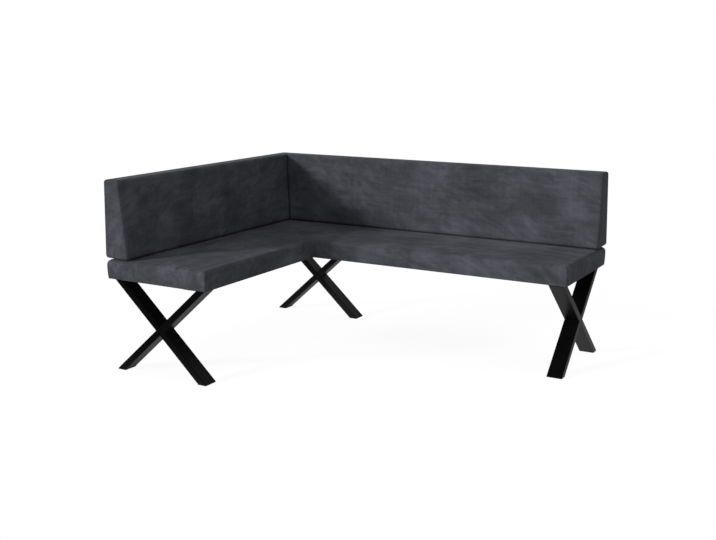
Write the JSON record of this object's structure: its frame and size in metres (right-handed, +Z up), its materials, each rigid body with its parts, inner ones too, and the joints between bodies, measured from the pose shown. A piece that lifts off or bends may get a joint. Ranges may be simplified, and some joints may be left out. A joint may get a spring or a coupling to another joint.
{
  "type": "corner bench",
  "caption": "L-shaped upholstered dining bench with wedge-shaped backrests along both wall sides, standing on crossed frames of flat steel tube.",
  "frame": {"origin": "on the floor, centred under the bench's bounding box", "axes": "+X along the long arm away from the corner, +Y towards the wall behind the long arm, +Z up; the short arm runs along -Y at the -X end"},
  "size_m": [1.806, 1.372, 0.8459],
  "materials": {
    "anthracite_fabric": "brushed short-pile upholstery fabric, dark anthracite",
    "black_lining": "thin non-woven lining, black",
    "cream_foam": "open-cell upholstery foam",
    "birch_plywood": "unfinished plywood",
    "spruce_timber": "planed, unfinished",
    "black_steel": "satin black powder coat",
    "zinc_steel": "zinc plated",
    "black_plastic": "matt moulded"
  },
  "bodies": {
    "root": {"seat_cover": "anthracite_fabric", "seat_lining": "black_lining", "seat_board_short": "birch_plywood", "seat_board_long": "birch_plywood", "support_rail_short": "spruce_timber", "support_rail_long": "spruce_timber", "seat_foam_short": "cream_foam", "seat_foam_long": "cream_foam", "short_back_cover": "anthracite_fabric", "short_back_foam": "cream_foam", "short_back_bottom_rail": "birch_plywood", "short_back_rear_board": "birch_plywood", "long_back_cover": "anthracite_fabric", "long_back_foam": "cream_foam", "long_back_bottom_rail": "birch_plywood", "long_back_rear_board": "birch_plywood", "left_frame_through_tube": "black_steel", "left_frame_upper_tube": "black_steel", "left_frame_lower_tube": "black_steel", "left_frame_wall_plate": "black_steel", "left_frame_room_plate": "black_steel", "left_frame_wall_glide": "black_plastic", "left_frame_room_glide": "black_plastic", "corner_frame_through_tube": "black_steel", "corner_frame_upper_tube": "black_steel", "corner_frame_lower_tube": "black_steel", "corner_frame_wall_plate": "black_steel", "corner_frame_room_plate": "black_steel", "corner_frame_wall_glide": "black_plastic", "corner_frame_room_glide": "black_plastic", "right_frame_through_tube": "black_steel", "right_frame_upper_tube": "black_steel", "right_frame_lower_tube": "black_steel", "right_frame_wall_plate": "black_steel", "right_frame_room_plate": "black_steel", "right_frame_wall_glide": "black_plastic", "right_frame_room_glide": "black_plastic", "joining_plate": "black_steel", "left_frame_wall_plate_bolt_1": "zinc_steel", "left_frame_wall_plate_bolt_2": "zinc_steel", "left_frame_room_plate_bolt_1": "zinc_steel", "left_frame_room_plate_bolt_2": "zinc_steel", "corner_frame_wall_plate_bolt_1": "zinc_steel", "corner_frame_wall_plate_bolt_2": "zinc_steel", "corner_frame_room_plate_bolt_1": "zinc_steel", "corner_frame_room_plate_bolt_2": "zinc_steel", "right_frame_wall_plate_bolt_1": "zinc_steel", "right_frame_wall_plate_bolt_2": "zinc_steel", "right_frame_room_plate_bolt_1": "zinc_steel", "right_frame_room_plate_bolt_2": "zinc_steel", "joining_bolt_1": "zinc_steel", "joining_bolt_2": "zinc_steel", "joining_bolt_3": "zinc_steel", "joining_bolt_4": "zinc_steel", "short_back_bolt_1": "zinc_steel", "short_back_bolt_2": "zinc_steel", "long_back_bolt_1": "zinc_steel", "long_back_bolt_2": "zinc_steel", "long_back_bolt_3": "zinc_steel"}
  },
  "joints": []
}
